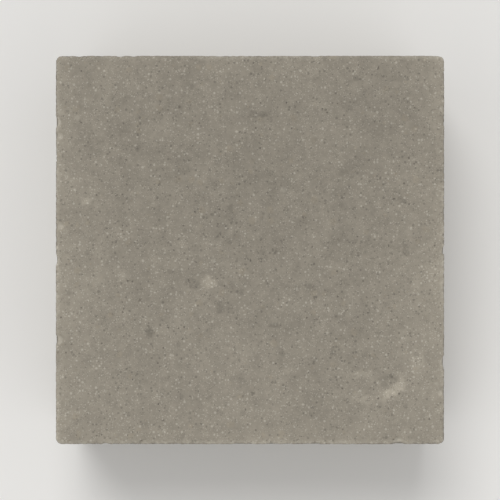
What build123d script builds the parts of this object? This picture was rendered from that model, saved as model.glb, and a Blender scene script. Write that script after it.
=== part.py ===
from build123d import *
import os

# Square concrete paving stone, pressed in one piece in a steel mould. Millimetres, +Z up.
# Origin: centre of the bed face, which lies on the ground. The wearing face looks up.

# Laying measures. The stone and one joint fill a module, and the nibs keep the joint open.
module = 200.0  # the length that the stone takes up in a row
joint = 2.0  # width of the joint, which is also how far a nib stands out

# Block
thickness = 80.0
corner_radius = 3.5  # upright corners, as the mould leaves them
arris_radius = 1.0  # rubbed edge round the wearing face
bed_bevel = 0.8  # broken edge round the bed face

# Spacer nibs: two upright beads on each side, open at the foot so that the mould lifts off
nib_width = 12.0  # across the bead, where it leaves the side
nib_inset = 37.0  # from one corner of the stone to the middle of the nearer bead
nib_passing_gap = 6.0  # free length between two beads that pass each other in one joint
nib_top_drop = 14.0  # from the wearing face down to where the bead has run out
nib_run_out = 8.0  # height over which the bead fades into the side

side = module - joint
side_count = 4


def block():
    """The plain stone: rounded upright corners, a rubbed arris on top and a broken edge below."""
    body = extrude(RectangleRounded(side, side, corner_radius), thickness)
    body = fillet(body.faces().sort_by(Axis.Z)[-1].edges(), arris_radius)
    return chamfer(body.faces().sort_by(Axis.Z)[0].edges(), bed_bevel)


def bead():
    """One nib on the +X side, at Y 0, revolved about an upright axis inside the stone."""
    bead_radius = ((nib_width / 2) ** 2 + joint**2) / (2 * joint)
    axis_depth = bead_radius - joint  # from the stone's side in to the bead's axis
    run_out_end = thickness - nib_top_drop
    run_out_start = run_out_end - nib_run_out
    # The taper goes on at the same slope inside the stone, so that it leaves the side cleanly.
    tip_radius = axis_depth - joint
    tip_height = run_out_end + nib_run_out
    profile = Polyline(
        (0, 0, 0),
        (bead_radius - bed_bevel, 0, 0),
        (bead_radius, 0, bed_bevel),
        (bead_radius, 0, run_out_start),
        (tip_radius, 0, tip_height),
        (0, 0, tip_height),
        close=True,
    )
    return Pos(side / 2 - axis_depth, 0, 0) * revolve(make_face(profile), Axis.Z)


def nibs():
    """Both beads of one side, repeated round the stone.

    The second bead is further from its corner than the first, by a bead's width and a gap. Set
    against the same side turned half round, each bead then stands on flat concrete.
    """
    far_inset = nib_inset + nib_width + nib_passing_gap
    places = [side / 2 - nib_inset, far_inset - side / 2]
    turns = [360 / side_count * k for k in range(side_count)]
    one = bead()
    return [Rot(0, 0, turn) * Pos(0, place, 0) * one for turn in turns for place in places]


def paving_stone():
    """The whole stone, one solid."""
    return block() + nibs()


os.makedirs("parts", exist_ok=True)
export_step(paving_stone(), "parts/paving_stone.step")
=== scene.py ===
"""Looks of a square concrete paving stone that lies face up on a plain pale floor.

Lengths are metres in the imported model's frame: the origin is the middle of the bed face, Z is up.
"""

import logging
import math
from dataclasses import dataclass, fields
from enum import Enum
from functools import reduce
from typing import Any

import bpy
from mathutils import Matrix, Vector


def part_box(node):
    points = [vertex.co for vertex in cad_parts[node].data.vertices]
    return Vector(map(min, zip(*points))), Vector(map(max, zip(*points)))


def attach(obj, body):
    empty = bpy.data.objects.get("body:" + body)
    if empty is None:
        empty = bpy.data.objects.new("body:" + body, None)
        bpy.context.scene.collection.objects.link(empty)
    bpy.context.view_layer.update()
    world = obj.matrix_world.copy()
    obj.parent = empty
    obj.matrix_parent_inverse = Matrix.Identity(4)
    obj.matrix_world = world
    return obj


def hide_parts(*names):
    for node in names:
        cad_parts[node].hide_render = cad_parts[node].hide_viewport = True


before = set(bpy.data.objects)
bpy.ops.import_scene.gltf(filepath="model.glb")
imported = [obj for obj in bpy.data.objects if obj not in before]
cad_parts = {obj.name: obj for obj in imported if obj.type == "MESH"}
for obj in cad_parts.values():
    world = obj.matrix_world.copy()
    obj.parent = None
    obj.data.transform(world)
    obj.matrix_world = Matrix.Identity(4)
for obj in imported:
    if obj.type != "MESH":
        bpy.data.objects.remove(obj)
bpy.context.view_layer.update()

log = logging.getLogger("paving_stone")

STONE_NODE = "paving_stone"
STONE_BODY = "root"

# How many sides the square stone has, which its outline and its rings go round.
SIDES = 4

# Half the width over which one kind of face passes into the next, where the two meet.
FACE_BLUR = 0.0004

# The shares of the thickness between which a place passes from the bed's half to the upper half.
WAIST = (0.45, 0.55)

# Every dent points to the sound core, which starts this deep under the surface.
CORE_DEPTH = 0.008

# The mesh attribute that says how much of the arris is missing, 1 at a full crumb's depth.
BROKEN = "broken"

# How far from its middle line a mark starts to fade and ends, in shares of its width.
MARK_FADE = (0.15, 0.6)

# Sockets that Blender tells apart only by number, on its colour mix and on its random float.
MIX_SHARE, MIX_FIRST, MIX_SECOND, MIX_RESULT = 0, 6, 7, 2
DRAW_LEAST, DRAW_MOST, DRAW_RESULT = 2, 3, 1

Colour = tuple[float, float, float]
Span = tuple[float, float]

WHITE: Colour = (1.0, 1.0, 1.0)
MIDDLE_DRAW: Colour = (0.5, 0.5, 0.5)


class Face(Enum):
    """The three kinds of surface that the mould leaves on the stone."""

    WEARING = "wearing face"
    SIDE = "side"
    BED = "bed face"


class Field:
    """A value that varies over the stone: one node output, whose arithmetic adds more nodes."""

    def __init__(self, graph: "Graph", socket: bpy.types.NodeSocket) -> None:
        """Keeps the output and the graph that it belongs to."""
        self.graph = graph
        self.socket = socket

    def __add__(self, other: "Value") -> "Field":
        """Sum."""
        return self.graph.math("ADD", self, other)

    __radd__ = __add__

    def __sub__(self, other: "Value") -> "Field":
        """Difference."""
        return self.graph.math("SUBTRACT", self, other)

    def __rsub__(self, other: "Value") -> "Field":
        """Difference from a number."""
        return self.graph.math("SUBTRACT", other, self)

    def __mul__(self, other: "Value") -> "Field":
        """Product."""
        return self.graph.math("MULTIPLY", self, other)

    __rmul__ = __mul__

    def __truediv__(self, other: "Value") -> "Field":
        """Quotient."""
        return self.graph.math("DIVIDE", self, other)

    def __abs__(self) -> "Field":
        """Size without its sign."""
        return self.graph.math("ABSOLUTE", self)

    def root(self) -> "Field":
        """Square root."""
        return self.graph.math("SQRT", self)

    def exp(self) -> "Field":
        """The number e to this power."""
        return self.graph.math("EXPONENT", self)

    def at_least(self, low: "Value") -> "Field":
        """The larger of the two."""
        return self.graph.math("MAXIMUM", self, low)

    def at_most(self, high: "Value") -> "Field":
        """The smaller of the two."""
        return self.graph.math("MINIMUM", self, high)

    def under(self, limit: "Value") -> "Field":
        """1 where this is below the limit, 0 elsewhere."""
        return self.graph.math("LESS_THAN", self, limit)

    def rise(self, low: "Value", high: "Value", least: float = 0.0) -> "Field":
        """A smooth step up, from the least value at low to 1 at high."""
        inputs = {"Value": self, "From Min": low, "From Max": high, "To Min": least}
        return self.graph.field("ShaderNodeMapRange", inputs, interpolation_type="SMOOTHSTEP")

    def fall(self, low: "Value", high: "Value") -> "Field":
        """A smooth step down, from 1 at low to 0 at high."""
        return 1.0 - self.rise(low, high)

    def vector(self, operation: str, other: Any = (0.0, 0.0, 0.0)) -> "Field":
        """One step on this vector and another, with a vector as its result."""
        return self.graph.field("ShaderNodeVectorMath", {0: self, 1: other}, operation=operation)

    def scaled(self, factor: "Value") -> "Field":
        """This vector or colour times a factor."""
        return self.graph.field("ShaderNodeVectorMath", {0: self, "Scale": factor}, operation="SCALE")

    def distance(self, other: "Field") -> "Field":
        """How far apart two places are."""
        return self.graph.field("ShaderNodeVectorMath", {0: self, 1: other}, "Value", operation="DISTANCE")

    def split(self) -> tuple["Field", "Field", "Field"]:
        """The three parts of this vector."""
        parts = self.graph.node("ShaderNodeSeparateXYZ", {0: self}).outputs
        return Field(self.graph, parts[0]), Field(self.graph, parts[1]), Field(self.graph, parts[2])

    def between(self, first: Any, second: Any) -> "Field":
        """A mix of two colours: all first where this is 0, all second where it is 1."""
        inputs = {MIX_SHARE: self, MIX_FIRST: first, MIX_SECOND: second}
        return self.graph.field("ShaderNodeMix", inputs, MIX_RESULT, data_type="RGBA")


Value = Field | float
Inputs = dict[str | int, Any]


def hypot(first: Field, second: Field) -> Field:
    """Length of the long side of a right-angled triangle."""
    return (first * first + second * second).root()


class Graph:
    """Adds nodes to one shader or geometry tree and links them as it goes."""

    def __init__(self, tree: bpy.types.NodeTree) -> None:
        """Keeps the tree and empties it."""
        self.tree = tree
        tree.nodes.clear()

    def node(self, kind: str, inputs: Inputs | None = None, **options: Any) -> bpy.types.Node:
        """Adds one node.

        Args:
            kind: Blender's name for the node.
            inputs: what goes into its inputs, by name or number.
            options: its settings.

        Returns:
            The node.
        """
        made = self.tree.nodes.new(kind)
        for name, value in options.items():
            setattr(made, name, value)
        for key, value in (inputs or {}).items():
            self.feed(made.inputs[key], value)
        return made

    def field(self, kind: str, inputs: Inputs | None = None, output: str | int = 0, **options: Any) -> Field:
        """Adds one node, as node does, and takes one of its outputs, by name or number."""
        return Field(self, self.node(kind, inputs, **options).outputs[output])

    def feed(self, socket: bpy.types.NodeSocket, value: Any) -> None:
        """Links something to an input, or sets the input to a plain value.

        Args:
            socket: the input.
            value: a field, a node's output, or the plain value.
        """
        source = value.socket if isinstance(value, Field) else value
        if isinstance(source, bpy.types.NodeSocket):
            self.tree.links.new(source, socket)
        elif socket.type == "RGBA":
            socket.default_value = (*source, 1.0)
        else:
            socket.default_value = source

    def math(self, operation: str, *values: Value) -> Field:
        """One arithmetic step on one or two values."""
        return self.field("ShaderNodeMath", dict(enumerate(values)), operation=operation)

    def sample(self, points: bpy.types.NodeSocket, index: Field, value: Field, kind: str) -> Field:
        """The value of this kind that one point of a set has, by the point's number."""
        inputs = {"Geometry": points, "Index": index, "Value": value}
        return self.field("GeometryNodeSampleIndex", inputs, data_type=kind)

    def finish(self, inputs: Inputs) -> None:
        """Ends a material's tree with the surface that has these inputs."""
        surface = self.field("ShaderNodeBsdfPrincipled", inputs)
        self.node("ShaderNodeOutputMaterial", {"Surface": surface})


@dataclass(frozen=True, kw_only=True)
class Noise:
    """Smooth random variation from 0 to 1, about 0.5 on average.

    The size is about the length of one swell. The detail is how many finer layers there are, and
    the roughness how strong they are.
    """

    size: float
    detail: float = 2.0
    roughness: float = 0.5

    def drawn(self, place: Field, output: str | int = 0) -> Field:
        """The noise at a place: one number, or three that vary apart as the output "Color"."""
        return place.graph.field(
            "ShaderNodeTexNoise",
            {"Vector": place, "Scale": 1 / self.size, "Detail": self.detail, "Roughness": self.roughness},
            output,
        )


@dataclass(frozen=True, kw_only=True)
class Mottle(Noise):
    """Noise that swings between two values."""

    low: float = 0.0
    high: float = 1.0

    def over(self, place: Field) -> Field:
        """The value at a place."""
        return self.drawn(place) * (self.high - self.low) + self.low


@dataclass(frozen=True, kw_only=True)
class Patches(Noise):
    """Patches of 1 on a ground of the least value, whose soft edges lie between two levels of noise."""

    levels: Span
    least: float = 0.0

    def over(self, place: Field) -> Field:
        """The value at a place."""
        return self.drawn(place).rise(*self.levels, self.least)


@dataclass(frozen=True, kw_only=True)
class Wander(Noise):
    """Moves places at random, so that what follows them has an uneven outline."""

    reach: float

    def over(self, place: Field) -> Field:
        """The moved place, which is up to half the reach away along each axis."""
        move = self.drawn(place, "Color").vector("SUBTRACT", MIDDLE_DRAW)
        return place.vector("ADD", move.scaled(self.reach))


@dataclass(frozen=True)
class Specks:
    """Grains or holes of one size range, most of them small, cut by the surface where they lie near it.

    Each cell holds one at most. The share is how many cells hold one, and the edge is the part of
    its radius over which a speck fades.
    """

    cell: float
    share: float
    smallest: float
    largest: float
    edge: float = 0.25

    def over(self, place: Field, crowd: Value = 1.0) -> tuple[Field, Field]:
        """Lays the specks out.

        Args:
            place: the position that they follow.
            crowd: how much of their share they keep here.

        Returns:
            A mask, 1 in a speck and 0 outside, and a random draw for each speck.
        """
        cells = place.graph.node("ShaderNodeTexVoronoi", {"Vector": place, "Scale": 1.0 / self.cell})
        rank, growth, draw = Field(place.graph, cells.outputs["Color"]).split()
        radius = (growth * growth * (self.largest - self.smallest) + self.smallest) / self.cell
        away = Field(place.graph, cells.outputs["Distance"])
        mask = away.fall(radius * (1.0 - self.edge), radius)
        return mask * rank.under(crowd * self.share), draw


def turned(vector: Vector, quarters: int) -> Vector:
    """A place or a direction in the plan, turned counterclockwise by quarter turns."""
    for _ in range(quarters):
        vector = Vector((-vector.y, vector.x))
    return vector


@dataclass(frozen=True)
class Bead:
    """A spacer nib: an upright bead on the stone's side, which fades out below the wearing face.

    Each side has two. One stands at the inset from its corner, and the other is further from its
    own by a bead's width and the passing gap.
    """

    width: float = 0.012
    stand_out: float = 0.002
    corner_inset: float = 0.037
    passing_gap: float = 0.006
    top_drop: float = 0.014
    run_out: float = 0.008

    def places(self, side: float) -> tuple[float, float]:
        """Middles of the two beads along one side, measured from the side's middle."""
        far_inset = self.corner_inset + self.width + self.passing_gap
        return side / 2 - self.corner_inset, far_inset - side / 2

    def reach(self, off: float, height: float, thickness: float, foot: float) -> float:
        """How far the bead stands out from the side.

        Args:
            off: distance along the side from the bead's middle.
            height: height above the bed.
            thickness: of the stone.
            foot: height of the broken edge at the bed.

        Returns:
            The distance, or 0 beside and above the bead.
        """
        radius = ((self.width / 2) ** 2 + self.stand_out**2) / (2 * self.stand_out)
        axis_depth = radius - self.stand_out
        fade_start = thickness - self.top_drop - self.run_out
        slope = self.stand_out / self.run_out
        here = radius - slope * max(height - fade_start, 0.0) - max(foot - height, 0.0)
        if here <= abs(off):
            return 0.0
        return max(math.sqrt(here**2 - off**2) - axis_depth, 0.0)


@dataclass(frozen=True)
class Block:
    """The stone's own sizes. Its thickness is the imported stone's."""

    thickness: float
    bead: Bead = Bead()
    module: float = 0.200
    corner_radius: float = 0.0035
    arris_radius: float = 0.001
    bed_bevel: float = 0.0008

    @property
    def side(self) -> float:
        """Length of a side between its corners, without the beads."""
        return self.module - self.bead.stand_out

    def outline(self, step: int, steps: int) -> tuple[Vector, Vector, float]:
        """One place on the stone's plan outline, counted counterclockwise from its -Y, +X corner.

        Args:
            step: which place.
            steps: places on each side.

        Returns:
            The place, the direction out of the stone there, and the distance along its side.
        """
        quarters, place = divmod(step % (SIDES * steps), steps)
        along = self.side * (place / steps - 0.5)
        reach = self.side / 2 - self.corner_radius
        over = math.copysign(max(abs(along) - reach, 0.0), along)
        outward = Vector((self.corner_radius, over)).normalized()
        point = Vector((reach, along - over)) + outward * self.corner_radius
        return turned(point, quarters), turned(outward, quarters), along


@dataclass(frozen=True)
class Island:
    """One face of the stone on the surface map, looked at from outside.

    The directions are the stone's. The middle is in pixels, and the scale in pixels to a metre.
    """

    outward: Vector
    across: Vector
    middle: Vector
    scale: float

    def spot(self, place: Vector) -> Vector:
        """Where a place, measured from the stone's middle, lies on the map, in pixels."""
        upward = self.outward.cross(self.across)
        return self.middle + Vector((place.dot(self.across), place.dot(upward))) * self.scale


@dataclass(frozen=True)
class SurfaceMap:
    """How the six faces share one square image: the wearing face is the largest, the bed the smallest."""

    name: str = "OFBake"
    pixels: int = 1024
    islands: tuple[Island, ...] = (
        Island(outward=Vector((0, 0, 1)), across=Vector((1, 0, 0)), middle=Vector((333, 333)), scale=3300),
        Island(outward=Vector((0, 0, -1)), across=Vector((1, 0, 0)), middle=Vector((178, 846)), scale=1730),
        Island(outward=Vector((1, 0, 0)), across=Vector((0, 1, 0)), middle=Vector((565, 936)), scale=2050),
        Island(outward=Vector((0, 1, 0)), across=Vector((-1, 0, 0)), middle=Vector((565, 760)), scale=2050),
        Island(outward=Vector((-1, 0, 0)), across=Vector((0, 0, 1)), middle=Vector((758, 209)), scale=2050),
        Island(outward=Vector((0, -1, 0)), across=Vector((0, 0, 1)), middle=Vector((934, 209)), scale=2050),
    )

    def lay(self, mesh: bpy.types.Mesh, block: Block) -> None:
        """Adds the map to the blank's mesh.

        Args:
            mesh: of the blank, each of whose faces goes to the island that looks its way.
            block: the stone's sizes.
        """
        middle = Vector((0.0, 0.0, block.thickness / 2))
        layer = mesh.uv_layers.new(name=self.name)
        for polygon in mesh.polygons:
            normal = polygon.normal.copy()
            island = max(self.islands, key=lambda one: one.outward.dot(normal))
            for corner in polygon.loop_indices:
                place = mesh.vertices[mesh.loops[corner].vertex_index].co - middle
                layer.uv[corner].vector = island.spot(place) / self.pixels


@dataclass
class Blank:
    """The stone as the mould shapes it, before its relief: one closed mesh, finest at the arris.

    The flat middle of a face is a square grid, which has this many columns on top and half of them
    below. Rings of points lead from it over the band at the face's edge and down the side. A ring's
    share is how far it lies on the way from the grid to the outline.
    """

    block: Block
    columns: int = 176
    band: float = 0.004
    foot_band: float = 0.006
    side_rows: int = 42
    foot_rows: int = 5
    arris_rows: int = 6
    bevel_rows: int = 2
    band_shares: tuple[float, ...] = (0.25, 0.5, 0.7, 0.87, 1.0)
    side_starts: tuple[float, ...] = (0.0005, 0.0011, 0.0019, 0.0029)
    bed_share: float = 0.5

    def __post_init__(self) -> None:
        """Starts with no points and no faces."""
        self.points: list[tuple[float, float, float]] = []
        self.faces: list[tuple[int, ...]] = []

    @property
    def flat_half(self) -> float:
        """Half the width of the flat middle of a face."""
        return self.block.side / 2 - self.band

    def square(self, step: int, steps: int) -> Vector:
        """One place on the edge of a face's flat middle, counted as the places of the outline are."""
        quarters, place = divmod(step % (SIDES * steps), steps)
        return turned(Vector((self.flat_half, self.flat_half * (2 * place / steps - 1))), quarters)

    def grid(self, steps: int, height: float, up: bool) -> list[int]:
        """Adds the flat middle of a face.

        Args:
            steps: cells along each side.
            height: of the face.
            up: whether the face looks up.

        Returns:
            The points round its edge, in the order of the outline.
        """
        first = len(self.points)
        marks = [self.flat_half * (2 * k / steps - 1) for k in range(steps + 1)]
        self.points += [(x, y, height) for y in marks for x in marks]
        row = steps + 1
        for j in range(steps):
            for i in range(steps):
                corner = first + j * row + i
                face = (corner, corner + 1, corner + row + 1, corner + row)
                self.faces.append(face if up else face[::-1])
        east = [first + j * row + steps for j in range(steps)]
        north = [first + steps * row + i for i in range(steps, 0, -1)]
        west = [first + j * row for j in range(steps, 0, -1)]
        south = [first + i for i in range(steps)]
        return east + north + west + south

    def ring(self, steps: int, inset: float, height: float, share: float = 1.0) -> list[int]:
        """Adds one ring of points round the stone.

        Args:
            steps: points on each side.
            inset: distance in from the outline.
            height: above the bed.
            share: 1 on the outline, and towards 0 on the square of the flat middle.

        Returns:
            The ring's points.
        """
        block, bead = self.block, self.block.bead
        first = len(self.points)
        for step in range(SIDES * steps):
            point, outward, along = block.outline(step, steps)
            offs = [along - place for place in bead.places(block.side)]
            stand = max(bead.reach(off, height, block.thickness, block.bed_bevel) for off in offs)
            point = point + outward * (stand if stand > 0 else -inset)
            point = self.square(step, steps).lerp(point, share)
            self.points.append((point.x, point.y, height))
        return list(range(first, first + SIDES * steps))

    def join(self, upper: list[int], lower: list[int]) -> None:
        """Adds the faces between two rings.

        Args:
            upper: the points of one.
            lower: the points of the other, as many, half as many or twice as many.
        """
        count = min(len(upper), len(lower))
        for k in range(count):
            after = (k + 1) % count
            if len(upper) == len(lower):
                self.faces.append((upper[k], lower[k], lower[after], upper[after]))
            elif len(lower) > count:
                left, middle, right = lower[2 * k], lower[2 * k + 1], lower[2 * after]
                self.faces.append((upper[k], left, middle))
                self.faces.append((upper[k], middle, upper[after]))
                self.faces.append((upper[after], middle, right))
            else:
                left, middle, right = upper[2 * k], upper[2 * k + 1], upper[2 * after]
                self.faces.append((left, lower[k], middle))
                self.faces.append((middle, lower[k], lower[after]))
                self.faces.append((middle, lower[after], right))

    def rings(self) -> list[list[int]]:
        """Adds every ring.

        Returns:
            The rings from the wearing face down to the bed, in order.
        """
        block, fine = self.block, 2 * self.columns
        top, arris = block.thickness, block.arris_radius
        made = [self.ring(fine, arris, top, share) for share in self.band_shares]
        for row in range(1, self.arris_rows + 1):
            turn = math.pi / 2 * row / self.arris_rows
            drop = arris * (1 - math.cos(turn))
            made.append(self.ring(fine, arris * (1 - math.sin(turn)), top - drop))
        made += [self.ring(fine, 0.0, top - arris - start) for start in self.side_starts]
        high, low = top - self.band, self.foot_band
        for row in range(self.side_rows + 1):
            made.append(self.ring(self.columns, 0.0, high + (low - high) * row / self.side_rows))
        for row in range(1, self.foot_rows + 1):
            height = low + (block.bed_bevel - low) * row / self.foot_rows
            made.append(self.ring(self.columns, 0.0, height))
        for row in range(1, self.bevel_rows + 1):
            height = block.bed_bevel * (1 - row / self.bevel_rows)
            made.append(self.ring(self.columns, block.bed_bevel - height, height))
        made.append(self.ring(self.columns, block.bed_bevel, 0.0, self.bed_share))
        return made

    def build(self, name: str) -> bpy.types.Object:
        """Makes the blank.

        Args:
            name: of the object.

        Returns:
            An object at the origin, with its place in its mesh.
        """
        previous = self.grid(self.columns, self.block.thickness, up=True)
        for ring in self.rings():
            self.join(previous, ring)
            previous = ring
        self.join(previous, self.grid(self.columns // 2, 0.0, up=False))
        mesh = bpy.data.meshes.new(name)
        mesh.from_pydata(self.points, [], self.faces)
        mesh.validate()
        SurfaceMap().lay(mesh, self.block)
        made = bpy.data.objects.new(name, mesh)
        bpy.context.scene.collection.objects.link(made)
        return made


@dataclass(frozen=True)
class Places:
    """Where a place lies on the stone, as fields.

    The inset and the drop are distances in from the outline and down from the wearing face. The
    arris and the foot are distances from those edges, and the foot is the edge round the bed. The
    last field says for each kind of face how far the place belongs to it.
    """

    block: Block
    position: Field
    inset: Field
    drop: Field
    arris: Field
    foot: Field
    on: dict[Face, Field]

    @classmethod
    def over(cls, position: Field, block: Block) -> "Places":
        """Works the fields out.

        Args:
            position: the place, in the stone's frame.
            block: the stone's sizes.

        Returns:
            The fields.
        """
        x, y, height = position.split()
        reach = block.side / 2 - block.corner_radius
        over_x, over_y = abs(x) - reach, abs(y) - reach
        outside = hypot(over_x.at_least(0.0), over_y.at_least(0.0))
        inset = block.corner_radius - outside - over_x.at_least(over_y).at_most(0.0)
        drop = block.thickness - height
        arris = hypot(inset.at_least(0.0), drop.at_least(0.0))
        foot = hypot(inset.at_least(0.0), height)
        upper = (height / block.thickness).rise(*WAIST)
        wearing = (inset - drop).rise(-FACE_BLUR, FACE_BLUR) * upper
        bed = (inset - height).rise(-FACE_BLUR, FACE_BLUR) * (1.0 - upper)
        on = {Face.WEARING: wearing, Face.SIDE: 1.0 - wearing - bed, Face.BED: bed}
        return cls(block, position, inset, drop, arris, foot, on)

    def each(self, wearing: Value, side: Value, bed: Value) -> Field:
        """One of three values, by the kind of face."""
        return self.on[Face.WEARING] * wearing + self.on[Face.SIDE] * side + self.on[Face.BED] * bed


@dataclass(frozen=True)
class Texture:
    """What both the relief and the finish follow: small stones, pits, and holes in open places."""

    stone_grains: Specks = Specks(cell=0.0052, share=0.34, smallest=0.0010, largest=0.0025, edge=0.35)
    gravel: Specks = Specks(cell=0.0095, share=0.60, smallest=0.0019, largest=0.0047, edge=0.30)
    stone_outline: Wander = Wander(size=0.0030, reach=0.0028)
    pits: Specks = Specks(cell=0.0080, share=0.20, smallest=0.0005, largest=0.0017, edge=0.6)
    holes: Specks = Specks(cell=0.0044, share=0.75, smallest=0.0006, largest=0.0022, edge=0.5)
    hole_outline: Wander = Wander(size=0.0019, reach=0.0034)
    hole_patches: Patches = Patches(size=0.030, levels=(0.42, 0.66), detail=1.0)
    opening_drop: Span = (0.006, 0.018)
    dense_openness: float = 0.15

    def openness(self, where: Places) -> Field:
        """How open the mix is: dense under the wearing face, where the press strikes it."""
        return where.drop.rise(*self.opening_drop, self.dense_openness)

    def stones(self, where: Places) -> tuple[Field, Field]:
        """The stones that show: small ones on the wearing face, gravel on the sides and the bed.

        Args:
            where: the place on the stone.

        Returns:
            A mask, 1 in a stone and 0 outside, and a random draw for each small stone.
        """
        ragged = self.stone_outline.over(where.position)
        small, draw = self.stone_grains.over(ragged)
        large, _ = self.gravel.over(ragged, self.openness(where))
        return where.each(small, large, large), draw

    def hollows(self, where: Places) -> Field:
        """The pits of the wearing face, and the holes that crowd in patches of the other faces.

        Args:
            where: the place on the stone.

        Returns:
            A mask, 1 in a hollow and 0 outside.
        """
        ragged = self.hole_outline.over(where.position)
        pit, _ = self.pits.over(ragged)
        crowd = self.hole_patches.over(where.position) * self.openness(where)
        hole, _ = self.holes.over(ragged, crowd)
        return where.each(pit, hole, hole)


TEXTURE = Texture()


@dataclass(frozen=True)
class ReliefSizes:
    """How deep, wide and close the parts of the relief are.

    Each size is a named input of the geometry tree: a number outside the tree, and a field in it.
    """

    unevenness: Value = 0.00022
    wearing_grain: Value = 0.00009
    side_grain: Value = 0.00030
    bed_grain: Value = 0.00055
    stone_height: Value = 0.00010
    pit_depth: Value = 0.0005
    hole_depth: Value = 0.0012
    crumble_depth: Value = 0.0007
    crumble_reach: Value = 0.0024
    foot_depth: Value = 0.0013
    foot_reach: Value = 0.0040
    chip_density: Value = 6500.0
    chip_smallest: Value = 0.0010
    chip_largest: Value = 0.0042
    chip_depth: Value = 0.34
    chip_seed: Value = 7.0

    def by_label(self) -> dict[str, Value]:
        """The sizes by what the tree's inputs are called."""
        return {size.name.replace("_", " ").capitalize(): getattr(self, size.name) for size in fields(self)}


@dataclass(frozen=True)
class CastSurface:
    """The relief that pressing and use leave, cut into the blank by a geometry tree.

    Broken edges are at their full depth up to the break core, a share of their reach, and a chip up
    to the chip core, a share of its radius.
    """

    sizes: ReliefSizes = ReliefSizes()
    swell: Mottle = Mottle(size=0.055, detail=1.0)
    grain: Mottle = Mottle(size=0.0045, detail=3.0, roughness=0.6)
    crumbs: Patches = Patches(size=0.0020, levels=(0.40, 0.68), roughness=0.6)
    foot_lumps: Patches = Patches(size=0.0048, levels=(0.42, 0.66), roughness=0.6)
    stretches: Patches = Patches(size=0.028, levels=(0.38, 0.62), least=0.25)
    break_core: float = 0.3
    chip_core: float = 0.25
    chip_outline: Mottle = Mottle(size=0.0013, low=0.65, high=1.35)
    chip_size_seed: int = 3

    def depth(self, given: ReliefSizes, where: Places) -> Field:
        """How far the surface lies under the blank's, apart from broken edges.

        Args:
            given: the sizes, as fields.
            where: the place on the blank.

        Returns:
            A depth, 0 or more.
        """
        swell = given.unevenness * self.swell.over(where.position)
        grain_depth = where.each(given.wearing_grain, given.side_grain, given.bed_grain)
        stone, _ = TEXTURE.stones(where)
        hollow_depth = where.each(given.pit_depth, given.hole_depth, given.hole_depth)
        grains = self.grain.over(where.position) * grain_depth + given.stone_height * (1.0 - stone)
        return swell + grains + TEXTURE.hollows(where) * hollow_depth

    def crumble(self, given: ReliefSizes, where: Places) -> Field:
        """Depth of the small crumbs that are missing along the arris, and the coarser ones at the foot.

        Args:
            given: the sizes, as fields.
            where: the place on the blank.

        Returns:
            A depth, 0 away from the edges.
        """
        near_arris = where.arris.fall(given.crumble_reach * self.break_core, given.crumble_reach)
        near_foot = where.foot.fall(given.foot_reach * self.break_core, given.foot_reach)
        arris = given.crumble_depth * near_arris * self.crumbs.over(where.position)
        foot = given.foot_depth * near_foot * self.foot_lumps.over(where.position)
        return (arris + foot) * self.stretches.over(where.position)

    def chips(self, given: ReliefSizes, where: Places, blank: bpy.types.NodeSocket) -> Field:
        """Depth of the chips, which lie at points scattered along the arris.

        Args:
            given: the sizes, as fields.
            where: the place on the blank.
            blank: the stone before its relief.

        Returns:
            A depth, 0 away from the chips.
        """
        position, graph = where.position, where.position.graph
        density = given.chip_density * where.arris.under(given.crumble_reach)
        scatter = {"Mesh": blank, "Density": density, "Seed": given.chip_seed}
        points = graph.node("GeometryNodeDistributePointsOnFaces", scatter).outputs["Points"]
        search = {"Geometry": points, "Sample Position": position}
        nearest = graph.field("GeometryNodeSampleNearest", search)
        draw = {DRAW_LEAST: given.chip_smallest, DRAW_MOST: given.chip_largest, "Seed": self.chip_size_seed}
        size = graph.field("FunctionNodeRandomValue", draw, DRAW_RESULT, data_type="FLOAT")
        radius = graph.sample(points, nearest, size, "FLOAT")
        middle = graph.sample(points, nearest, position, "FLOAT_VECTOR")
        share = position.distance(middle) * self.chip_outline.over(position) / radius
        return share.fall(self.chip_core, 1.0) * radius * given.chip_depth

    def tree(self, block: Block, material: bpy.types.Material) -> bpy.types.NodeTree:
        """Builds the geometry tree.

        Args:
            block: the stone's sizes.
            material: what the result is made of.

        Returns:
            The tree, with one named input for each of the relief's sizes.
        """
        tree = bpy.data.node_groups.new("cast_surface", "GeometryNodeTree")
        graph = Graph(tree)
        tree.interface.new_socket("Geometry", in_out="INPUT", socket_type="NodeSocketGeometry")
        tree.interface.new_socket("Geometry", in_out="OUTPUT", socket_type="NodeSocketGeometry")
        for label, size in self.sizes.by_label().items():
            socket = tree.interface.new_socket(label, in_out="INPUT", socket_type="NodeSocketFloat")
            socket.default_value = size
        entry = graph.node("NodeGroupInput")
        given = ReliefSizes(*(Field(graph, entry.outputs[label]) for label in self.sizes.by_label()))
        blank = entry.outputs["Geometry"]
        position = graph.field("GeometryNodeInputPosition")
        where = Places.over(position, block)

        broken = self.crumble(given, where).at_least(self.chips(given, where, blank))
        depth = self.depth(given, where) + broken
        core_half = block.side / 2 - CORE_DEPTH
        low = (-core_half, -core_half, CORE_DEPTH)
        high = (core_half, core_half, block.thickness - CORE_DEPTH)
        core = position.vector("MINIMUM", high).vector("MAXIMUM", low)
        outward = position.vector("SUBTRACT", core).vector("NORMALIZE")
        worn = graph.field(
            "GeometryNodeStoreNamedAttribute",
            {"Geometry": blank, "Name": BROKEN, "Value": broken / given.crumble_depth},
            data_type="FLOAT",
            domain="POINT",
        )
        offset = outward.scaled(depth * -1.0)
        moved = graph.field("GeometryNodeSetPosition", {"Geometry": worn, "Offset": offset})
        smooth = graph.field("GeometryNodeSetShadeSmooth", {"Geometry": moved})
        whole = graph.field("GeometryNodeRealizeInstances", {"Geometry": smooth})
        dressed = graph.field("GeometryNodeSetMaterial", {"Geometry": whole, "Material": material})
        graph.node("NodeGroupOutput", {"Geometry": dressed})
        return tree

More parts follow.
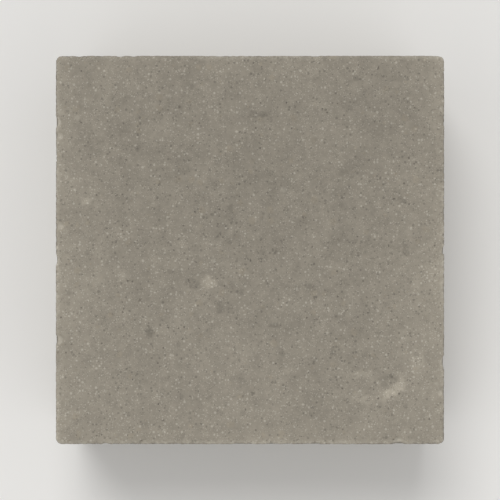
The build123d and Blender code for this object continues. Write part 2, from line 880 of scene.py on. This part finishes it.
    def apply(self, piece: bpy.types.Object, block: Block, material: bpy.types.Material) -> None:
        """Gives a blank its relief and leaves a plain mesh.

        Args:
            piece: the blank.
            block: the stone's sizes.
            material: what it is made of.
        """
        modifier = piece.modifiers.new("cast_surface", "NODES")
        modifier.node_group = self.tree(block, material)
        sizes = self.sizes.by_label()
        for item in modifier.node_group.interface.items_tree:
            if item.in_out == "INPUT" and item.name in sizes:
                modifier[item.identifier] = sizes[item.name]
        depsgraph = bpy.context.evaluated_depsgraph_get()
        mesh = bpy.data.meshes.new_from_object(
            piece.evaluated_get(depsgraph), preserve_all_data_layers=True, depsgraph=depsgraph
        )
        piece.modifiers.clear()
        piece.data = mesh


def soft_line(away: Field, width: float) -> Field:
    """How strong a mark is at a distance from its middle line, from 1 down to 0."""
    start, end = MARK_FADE
    return away.fall(width * start, width * end)


@dataclass(frozen=True)
class Streak:
    """A short straight mark on the wearing face: a scrape, a spot or a fleck.

    Its angle is in degrees from +X, and a positive tone is paler.
    """

    x: float
    y: float
    width: float
    tone: float
    length: float = 0.001
    angle: float = 0.0

    def over(self, x: Field, y: Field) -> Field:
        """The change of tone that the mark brings, with soft ends and edges.

        Args:
            x: the place's x on the stone.
            y: its y.

        Returns:
            The change, 0 away from the mark.
        """
        turn = math.radians(self.angle)
        dx, dy = x - self.x, y - self.y
        along = dx * math.cos(turn) + dy * math.sin(turn)
        across = dy * math.cos(turn) - dx * math.sin(turn)
        beyond = (abs(along) - self.length / 2).at_least(0.0)
        return soft_line(hypot(beyond, across), self.width) * self.tone


@dataclass(frozen=True)
class Scuff:
    """A curved scrape on the wearing face: an arc round a middle, with its angles in degrees from +X.

    The taper is how much of the arc's height, from its ends to its top, it takes to fade in.
    """

    x: float
    y: float
    radius: float
    middle_angle: float
    half_span: float
    width: float
    tone: float
    taper: float = 0.4

    def over(self, x: Field, y: Field) -> Field:
        """The change of tone that the scrape brings.

        Args:
            x: the place's x on the stone.
            y: its y.

        Returns:
            The change, 0 away from the scrape.
        """
        dx, dy = x - self.x, y - self.y
        away = hypot(dx, dy)
        middle = math.radians(self.middle_angle)
        facing = (dx * math.cos(middle) + dy * math.sin(middle)) / away
        end = math.cos(math.radians(self.half_span))
        span = facing.rise(end, end + (1.0 - end) * self.taper)
        return soft_line(abs(away - self.radius), self.width) * span * self.tone


@dataclass(frozen=True)
class Stain:
    """A broad soft patch on the wearing face."""

    x: float
    y: float
    reach_x: float
    reach_y: float
    tone: float

    def over(self, x: Field, y: Field) -> Field:
        """The change of tone at a place, strongest in the middle of the patch."""
        dx, dy = (x - self.x) / self.reach_x, (y - self.y) / self.reach_y
        return ((dx * dx + dy * dy) * -1.0).exp() * self.tone


SCUFFS = (
    Scuff(x=0.0601, y=-0.0544, radius=0.0214, middle_angle=-76, half_span=42, width=0.0066, tone=0.19),
    Scuff(x=0.0601, y=-0.0544, radius=0.0214, middle_angle=-48, half_span=20, width=0.0060, tone=0.22),
)
STREAKS = (
    Streak(x=0.0570, y=-0.0637, width=0.0040, tone=0.17, length=0.007, angle=4),
    Streak(x=0.0704, y=-0.0645, width=0.0038, tone=-0.17, length=0.007, angle=12),
    Streak(x=0.0856, y=-0.0559, width=0.0085, tone=0.15, length=0.004, angle=85),
    Streak(x=0.0848, y=-0.0160, width=0.0050, tone=0.15, length=0.004, angle=80),
    Streak(x=-0.0207, y=-0.0166, width=0.0066, tone=0.32, length=0.0025, angle=-25),
    Streak(x=-0.0345, y=0.0027, width=0.0048, tone=0.20),
    Streak(x=-0.0828, y=0.0248, width=0.0048, tone=0.20, length=0.002),
    Streak(x=-0.0650, y=-0.0129, width=0.0046, tone=0.13, length=0.003, angle=60),
    Streak(x=0.0042, y=0.0690, width=0.0036, tone=-0.20, length=0.007),
    Streak(x=-0.0290, y=-0.0170, width=0.0052, tone=-0.22, length=0.003, angle=-15),
    Streak(x=0.0787, y=0.0000, width=0.0034, tone=-0.18, length=0.005, angle=88),
    Streak(x=0.0124, y=-0.0387, width=0.0044, tone=-0.19),
    Streak(x=0.0304, y=-0.0193, width=0.0040, tone=-0.17, length=0.003),
    Streak(x=-0.0510, y=-0.0414, width=0.0046, tone=-0.20),
    Streak(x=-0.0345, y=0.0731, width=0.0038, tone=-0.15, length=0.003, angle=90),
    Streak(x=0.0511, y=0.0717, width=0.0044, tone=-0.15),
    Streak(x=-0.0152, y=-0.0290, width=0.0034, tone=-0.15, length=0.004, angle=90),
    Streak(x=0.0759, y=0.0248, width=0.0044, tone=-0.14),
    Streak(x=0.0511, y=0.0410, width=0.0110, tone=-0.08, length=0.005, angle=20),
)
STAINS = (
    Stain(x=-0.016, y=0.042, reach_x=0.070, reach_y=0.055, tone=-0.046),
    Stain(x=0.042, y=0.050, reach_x=0.035, reach_y=0.036, tone=-0.022),
    Stain(x=-0.095, y=-0.010, reach_x=0.022, reach_y=0.085, tone=0.034),
    Stain(x=-0.070, y=-0.026, reach_x=0.018, reach_y=0.018, tone=0.060),
    Stain(x=0.094, y=-0.022, reach_x=0.010, reach_y=0.016, tone=0.060),
    Stain(x=0.020, y=-0.070, reach_x=0.095, reach_y=0.030, tone=0.026),
    Stain(x=0.070, y=-0.062, reach_x=0.020, reach_y=0.018, tone=0.040),
    Stain(x=0.070, y=-0.005, reach_x=0.034, reach_y=0.034, tone=0.026),
)


@dataclass(frozen=True)
class Rims:
    """The paler bands along the four edges of the wearing face, where dust gathers."""

    left: float = 0.180
    right: float = 0.195
    near: float = 0.098
    far: float = 0.055
    reach: float = 0.011
    stretches: Mottle = Mottle(size=0.016, low=0.4, high=1.6, detail=3.0)

    def over(self, where: Places) -> Field:
        """The change of tone that the bands bring.

        Args:
            where: the place on the stone.

        Returns:
            The change, strongest at the edges.
        """
        half = where.block.side / 2
        x, y, _ = where.position.split()
        edges = ((half + x, self.left), (half - x, self.right), (half + y, self.near), (half - y, self.far))
        bands = [(away.at_least(0.0) / -self.reach).exp() * tone for away, tone in edges]
        return reduce(Field.at_least, bands) * self.stretches.over(where.position)


@dataclass(frozen=True)
class SideWearAndCreaseShade:
    """What the mould and use leave on the sides, and painted shade: drag lines, dirt near the top, rubbed
    beads and painted shade in the creases at the beads' feet.

    The beads are pale on their rubbed crests, and the creases at their feet are darkened as painted shade;
    both are told by how far a place stands out from the side.
    """

    drag: Mottle = Mottle(size=0.0014, low=-0.17, high=0.17, detail=3.0, roughness=0.6)
    drag_squeeze: float = 0.04
    dirt: float = -0.16
    dirt_reach: float = 0.009
    crest: Mottle = Mottle(size=0.004, high=0.30, detail=3.0)
    crest_start: Span = (0.0007, 0.0015)
    # Painted shade: the creases at the beads' feet are coloured darker where shade would fall.
    crease: float = -0.13
    crease_start: Span = (-0.0003, 0.0001)
    crease_end: Span = (0.0003, 0.0009)

    def over(self, where: Places) -> Field:
        """The change of tone on the sides.

        Args:
            where: the place on the stone.

        Returns:
            The change, 0 on the other faces.
        """
        drag = self.drag.over(where.position.vector("MULTIPLY", (1.0, 1.0, self.drag_squeeze)))
        dirt = (where.drop / -self.dirt_reach).exp() * self.dirt
        stand = where.inset * -1.0
        crest = stand.rise(*self.crest_start) * self.crest.over(where.position)
        # Painted shade in the creases beside the beads.
        crease = stand.rise(*self.crease_start) * stand.fall(*self.crease_end) * self.crease
        return (drag + dirt + crest + crease) * where.on[Face.SIDE]


@dataclass(frozen=True)
class ArrisWear:
    """Where the arris is rubbed or broken pale, in uneven stretches.

    The rubbing ends at a distance from the arris, and a break shows from a share of a crumb's depth.
    """

    rubbed_end: Span = (0.0003, 0.0034)
    stretches: Patches = Patches(size=0.022, levels=(0.35, 0.65), least=0.2)
    crumbs: Patches = Patches(size=0.0016, levels=(0.30, 0.62))
    broken_start: Span = (0.3, 1.4)
    broken_strength: float = 0.8

    def over(self, where: Places) -> Field:
        """How far the surface is worn.

        Args:
            where: the place on the stone.

        Returns:
            The wear, from 0 to 1.
        """
        rubbed = where.arris.fall(*self.rubbed_end) * self.stretches.over(where.position)
        rubbed = rubbed * self.crumbs.over(where.position)
        broken = where.position.graph.field("ShaderNodeAttribute", output="Fac", attribute_name=BROKEN)
        return rubbed.at_least(broken.rise(*self.broken_start) * self.broken_strength)


@dataclass(frozen=True)
class WeatheringAndCreaseShade:
    """Everything that makes the surface lighter or darker without changing its hue."""

    clouds: Mottle = Mottle(size=0.045, low=-0.10, high=0.10, detail=1.0)
    mottles: Mottle = Mottle(size=0.0085, low=-0.17, high=0.17, roughness=0.6)
    flecks: Mottle = Mottle(size=0.0030, low=-0.27, high=0.27, detail=4.0, roughness=0.7)
    mark_outline: Wander = Wander(size=0.0035, reach=0.0060)
    mark_strength: Mottle = Mottle(size=0.0018, low=0.2, high=1.8)
    rims: Rims = Rims()
    sides: SideWearAndCreaseShade = SideWearAndCreaseShade()

    def over(self, where: Places) -> Field:
        """The tone of the surface.

        Args:
            where: the place on the stone.

        Returns:
            A factor for its colour, about 1.
        """
        mottled = sum(part.over(where.position) for part in (self.clouds, self.mottles, self.flecks))
        x, y, _ = self.mark_outline.over(where.position).split()
        marked = sum(mark.over(x, y) for mark in STREAKS + SCUFFS) * self.mark_strength.over(where.position)
        stained = sum(stain.over(x, y) for stain in STAINS)
        worn = (self.rims.over(where) + marked + stained) * where.on[Face.WEARING]
        # The sides' part holds painted shade in the creases at the beads' feet.
        return mottled + worn + self.sides.over(where) + 1.0


@dataclass(frozen=True)
class GrainColours:
    """The colours of sand and stones. Each grain gets one of the three, by its random draw."""

    dark: Colour = (0.115, 0.105, 0.087)
    tan: Colour = (0.305, 0.262, 0.194)
    pale: Colour = (0.480, 0.446, 0.376)
    tan_start: Span = (0.24, 0.30)
    pale_start: Span = (0.55, 0.62)

    def over(self, draw: Field) -> Field:
        """The colour of a grain."""
        light = draw.rise(*self.pale_start).between(self.tan, self.pale)
        return draw.rise(*self.tan_start).between(self.dark, light)


@dataclass(frozen=True)
class Concrete:
    """Weathered grey-beige concrete: paste, sand in two sizes, a few small stones, pores and wear.

    The colour shares say how much a grain or the wear covers what lies under it, the painted shades how much
    darker a pore or a hollow is coloured as painted shade in it, and the heights how far each part stands
    up, in shares of the relief.
    """

    paste: Colour = (0.261, 0.2355, 0.1915)
    grain_colours: GrainColours = GrainColours()
    fine_sand: Specks = Specks(cell=0.0007, share=0.60, smallest=0.00020, largest=0.00040)
    sand: Specks = Specks(cell=0.0014, share=0.42, smallest=0.00032, largest=0.00080)
    pores: Specks = Specks(cell=0.0026, share=0.16, smallest=0.00022, largest=0.00070, edge=0.5)
    weathering: WeatheringAndCreaseShade = WeatheringAndCreaseShade()
    arris_wear: ArrisWear = ArrisWear()

    fine_share: float = 0.42
    sand_share: float = 0.46
    stone_share: float = 0.24
    gravel_share: float = 0.40
    wear_share: float = 0.45
    # Painted shade: how much darker pores, pits and holes are coloured, where shade would fall inside them.
    pore_painted_shade: float = 0.38
    pit_painted_shade: float = 0.34
    hole_painted_shade: float = 0.42

    relief: float = 0.001
    paste_height: Mottle = Mottle(size=0.0009, high=0.16, detail=3.0, roughness=0.6)
    fine_height: float = 0.05
    sand_height: float = 0.09
    stone_height: float = 0.05
    pore_height: float = -0.22
    hollow_height: float = -0.10

    roughness: float = 0.88
    pore_roughness: float = 0.08
    shiny_start: Span = (0.5, 0.7)
    shiny_roughness: float = -0.18
    specular: float = 0.30

    def material(self, block: Block) -> bpy.types.Material:
        """Builds the finish.

        Args:
            block: the stone's sizes, for where its faces and edges are.

        Returns:
            The material.
        """
        made = bpy.data.materials.new("weathered_concrete")
        made.use_nodes = True
        graph = Graph(made.node_tree)
        where = Places.over(graph.field("ShaderNodeTexCoord", output="Object"), block)
        fine, fine_draw = self.fine_sand.over(where.position)
        sand, sand_draw = self.sand.over(where.position)
        stone, stone_draw = TEXTURE.stones(where)
        pore, _ = self.pores.over(where.position)
        hollow = TEXTURE.hollows(where)

        colour: Field | Colour = self.paste
        stone_share = where.each(self.stone_share, self.gravel_share, self.gravel_share)
        grains = (fine * self.fine_share, fine_draw), (sand * self.sand_share, sand_draw)
        for cover, draw in (*grains, (stone * stone_share, stone_draw)):
            colour = cover.between(colour, self.grain_colours.over(draw))
        wear = self.arris_wear.over(where) * self.wear_share
        colour = wear.between(colour, self.grain_colours.pale)
        # Painted shade in the hollows: pores, pits and holes are coloured darker than the concrete around
        # them.
        pit_and_hole_painted_shade = where.each(self.pit_painted_shade, self.hole_painted_shade, self.hole_painted_shade)
        pore_and_hollow_painted_shade = (1.0 - pore * self.pore_painted_shade) * (1.0 - hollow * pit_and_hole_painted_shade)
        colour = colour.scaled(self.weathering.over(where) * pore_and_hollow_painted_shade)

        raised = fine * self.fine_height + sand * self.sand_height + stone * self.stone_height
        sunk = pore * self.pore_height + hollow * self.hollow_height
        height = self.paste_height.over(where.position) + raised + sunk
        bump = graph.field("ShaderNodeBump", {"Height": height, "Distance": self.relief})
        shiny = sand_draw.rise(*self.shiny_start) * sand
        roughness = shiny * self.shiny_roughness + pore * self.pore_roughness + self.roughness
        surface = {"Base Color": colour, "Roughness": roughness, "Normal": bump}
        graph.finish(surface | {"Specular IOR Level": self.specular})
        return made


@dataclass
class PavingStone:
    """The stone: one cast piece, from its blank to its finish."""

    block: Block
    surface: CastSurface
    finish: Concrete

    def build(self) -> bpy.types.Object:
        """Makes the stone and ties it to the frame.

        Returns:
            The stone.
        """
        body = Blank(self.block).build("stone_body")
        self.surface.apply(body, self.block, self.finish.material(self.block))
        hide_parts(STONE_NODE)
        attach(body, STONE_BODY)
        return body


@dataclass(frozen=True)
class SoftLamp:
    """A broad lamp, so far away that it lights the floor evenly. Its angles are in degrees."""

    name: str
    bearing: float
    elevation: float
    share: float
    spread: float

    def build(self) -> None:
        """Makes the lamp, which gives a level surface its share of the plain light level."""
        bearing, elevation = math.radians(self.bearing), math.radians(self.elevation)
        light = bpy.data.lights.new(self.name, "SUN")
        light.energy = self.share * math.pi / math.sin(elevation)
        light.angle = math.radians(self.spread)
        towards = Vector((math.cos(bearing), math.sin(bearing), math.tan(elevation))).normalized()
        lamp = bpy.data.objects.new(self.name, light)
        lamp.rotation_mode = "QUATERNION"
        lamp.rotation_quaternion = towards.to_track_quat("Z", "Y")
        bpy.context.scene.collection.objects.link(lamp)


@dataclass(frozen=True)
class PaleFloor:
    """The floor's finish: even, pale and without shine."""

    colour: Colour = (0.80, 0.79, 0.77)
    roughness: float = 0.9
    specular: float = 0.0

    def material(self) -> bpy.types.Material:
        """Builds the finish.

        Returns:
            The material.
        """
        made = bpy.data.materials.new("pale_floor")
        made.use_nodes = True
        surface = {"Base Color": self.colour, "Roughness": self.roughness}
        Graph(made.node_tree).finish(surface | {"Specular IOR Level": self.specular})
        return made


@dataclass
class Studio:
    """The pale floor, the soft light and the camera that looks straight down."""

    block: Block
    floor_finish: PaleFloor = PaleFloor()
    floor_half: float = 8.0
    sky_share: float = 0.48
    camera_height: float = 0.75
    fill: float = 0.78
    lamps: tuple[SoftLamp, ...] = (
        SoftLamp("key_lamp", bearing=104, elevation=52, share=0.38, spread=34),
        SoftLamp("left_lamp", bearing=212, elevation=36, share=0.07, spread=60),
        SoftLamp("right_lamp", bearing=-40, elevation=36, share=0.07, spread=60),
    )

    def floor(self) -> None:
        """Makes the floor, which keeps the stone's shadow."""
        half = self.floor_half
        mesh = bpy.data.meshes.new("floor")
        outline = [(-half, -half, 0.0), (half, -half, 0.0), (half, half, 0.0), (-half, half, 0.0)]
        mesh.from_pydata(outline, [], [(0, 1, 2, 3)])
        mesh.materials.append(self.floor_finish.material())
        floor = bpy.data.objects.new("floor", mesh)
        bpy.context.scene.collection.objects.link(floor)

    def world(self) -> None:
        """Lights the scene evenly from all round, and shows the floor's colour past its edge."""
        world = bpy.data.worlds.new("studio")
        bpy.context.scene.world = world
        world.use_nodes = True
        graph = Graph(world.node_tree)
        light = graph.field("ShaderNodeBackground", {"Color": WHITE, "Strength": self.sky_share})
        shown = graph.field("ShaderNodeBackground", {"Color": self.floor_finish.colour, "Strength": 1.0})
        path = graph.node("ShaderNodeLightPath")
        names = ("Is Camera Ray", "Is Glossy Ray", "Is Transmission Ray")
        seen = reduce(Field.at_least, [Field(graph, path.outputs[name]) for name in names])
        mix = graph.field("ShaderNodeMixShader", {0: seen, 1: light, 2: shown})
        graph.node("ShaderNodeOutputWorld", {"Surface": mix})

    def camera(self) -> None:
        """Makes the camera, centred over the stone, with the wearing face filling its share of the view."""
        data = bpy.data.cameras.new("camera")
        data.lens = data.sensor_width * self.camera_height * self.fill / self.block.side
        camera = bpy.data.objects.new("camera", data)
        camera.location = (0.0, 0.0, self.block.thickness + self.camera_height)
        bpy.context.scene.collection.objects.link(camera)
        bpy.context.scene.camera = camera

    def build(self) -> None:
        """Makes the whole studio."""
        bpy.context.scene.view_settings.view_transform = "Standard"
        self.camera()
        self.floor()
        self.world()
        for lamp in self.lamps:
            lamp.build()


def main() -> None:
    """Builds the studio, then the stone."""
    logging.basicConfig(level=logging.INFO, format="%(name)s: %(message)s")
    low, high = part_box(STONE_NODE)
    block = Block(thickness=high.z - low.z)
    Studio(block).build()
    stone = PavingStone(block, CastSurface(), Concrete()).build()
    log.info("%s: %d points, %d faces", stone.name, len(stone.data.vertices), len(stone.data.polygons))


if __name__ == "__main__":
    main()
